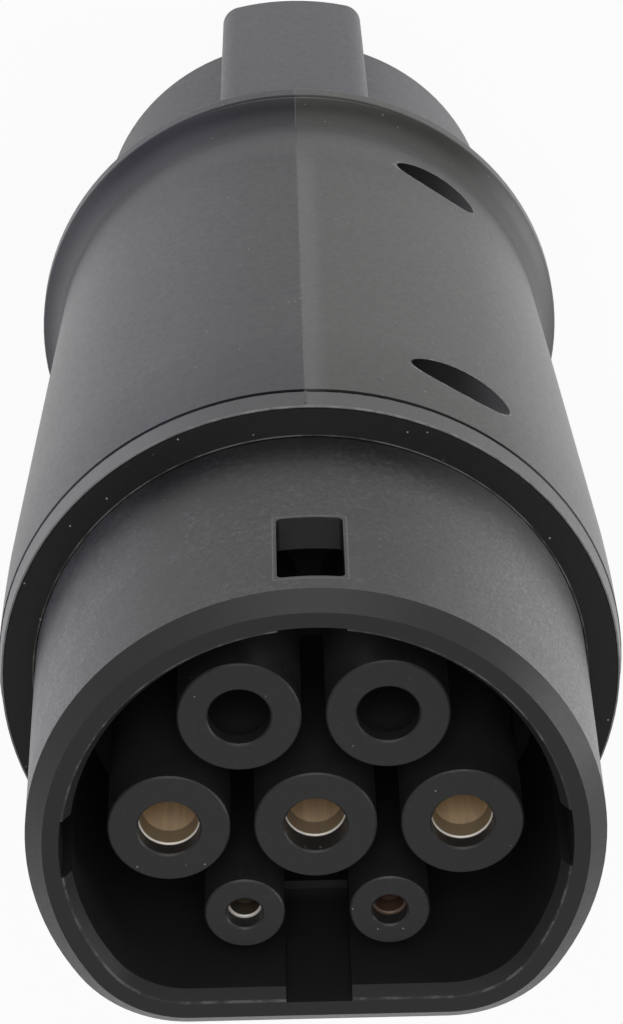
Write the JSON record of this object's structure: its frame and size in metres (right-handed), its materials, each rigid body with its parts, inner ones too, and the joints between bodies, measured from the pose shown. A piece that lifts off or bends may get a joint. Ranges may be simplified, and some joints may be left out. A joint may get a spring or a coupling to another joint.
{
  "type": "electric vehicle charging adapter",
  "caption": "Round-bodied charging adapter: a D-shaped shroud with contact towers in front, and a round pin inlet with a latch hood at the rear.",
  "frame": {"origin": "centre of the rear inlet's rim, on which the adapter stands", "axes": "+Z along the body's axis from the rear rim to the front rim, +Y towards the latch hood and the lock window, -Y towards the shroud's flat"},
  "size_m": [0.0724, 0.0724, 0.1627],
  "materials": {
    "housing_plastic": "fine satin moulding",
    "shroud_plastic": "satin, finely scuffed",
    "inlet_plastic": "fine satin moulding",
    "dark_insulator": "matt",
    "seal_rubber": "matt",
    "contact_brass": "turned, with a bright lip",
    "plated_pin": "silver plated",
    "spring_steel": "plain",
    "screw_steel": "zinc plated",
    "line_jacket": "smooth",
    "neutral_jacket": "smooth",
    "earth_jacket": "smooth",
    "signal_jacket": "smooth",
    "resistor_coat": "lacquered"
  },
  "bodies": {
    "root": {"left_housing_half": "housing_plastic", "right_housing_half": "housing_plastic", "housing_screws": "screw_steel", "face_seal": "seal_rubber", "front_shroud": "shroud_plastic", "contact_carrier": "dark_insulator", "contact_retainer": "dark_insulator", "line_socket": "contact_brass", "neutral_socket": "contact_brass", "earth_socket": "contact_brass", "pilot_socket": "contact_brass", "proximity_socket": "contact_brass", "line_spring": "spring_steel", "neutral_spring": "spring_steel", "earth_spring": "spring_steel", "rear_inlet": "inlet_plastic", "inlet_insulator": "dark_insulator", "pin_retainer": "dark_insulator", "line_pin": "plated_pin", "neutral_pin": "plated_pin", "earth_pin": "plated_pin", "pilot_pin": "plated_pin", "proximity_pin": "plated_pin", "line_wire": "line_jacket", "neutral_wire": "neutral_jacket", "earth_wire": "earth_jacket", "pilot_wire": "signal_jacket", "proximity_wire": "signal_jacket", "coding_resistor": "resistor_coat", "carrier_screws": "screw_steel", "inlet_screws": "screw_steel"}
  },
  "joints": []
}
